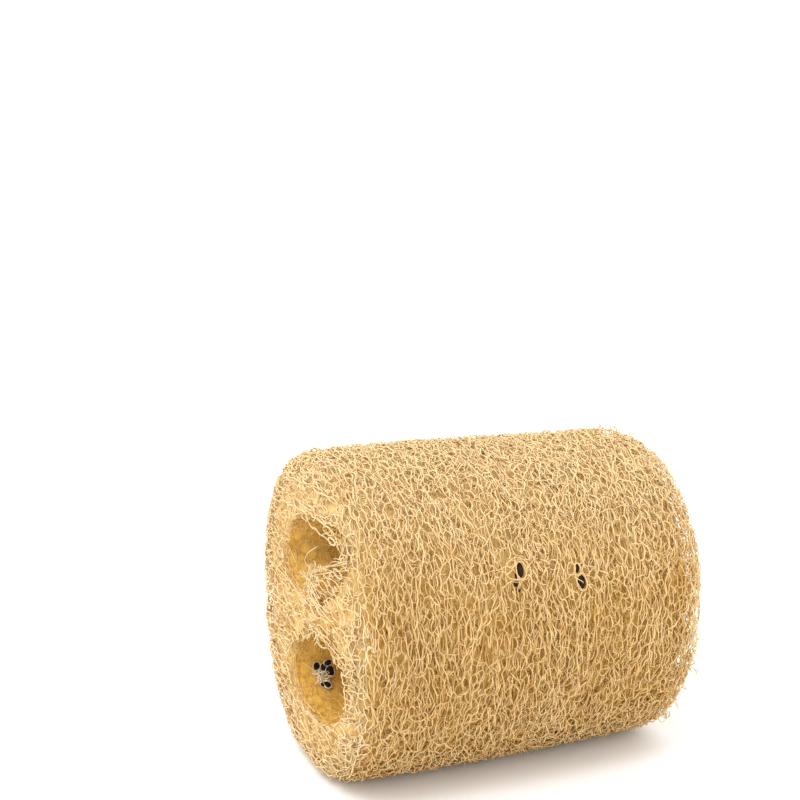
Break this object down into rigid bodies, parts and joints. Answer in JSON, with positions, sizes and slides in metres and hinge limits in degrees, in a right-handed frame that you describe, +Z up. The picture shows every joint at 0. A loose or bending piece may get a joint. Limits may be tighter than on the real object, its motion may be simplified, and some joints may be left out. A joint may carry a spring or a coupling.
{
  "type": "natural loofah sponge",
  "caption": "Short thick length of dried gourd fibre net lying on its side, cut ends left and right, with open seed chambers running through it.",
  "frame": {"origin": "under the middle of the sponge, on the surface it lies on", "axes": "+X along the gourd, from the cut end that the picture shows to the far one; +Z up; the side that the picture shows faces -Y"},
  "size_m": [0.1, 0.0784, 0.0846],
  "materials": {
    "fibre": "matte"
  },
  "bodies": {
    "root": {"sponge": "fibre"}
  },
  "joints": []
}
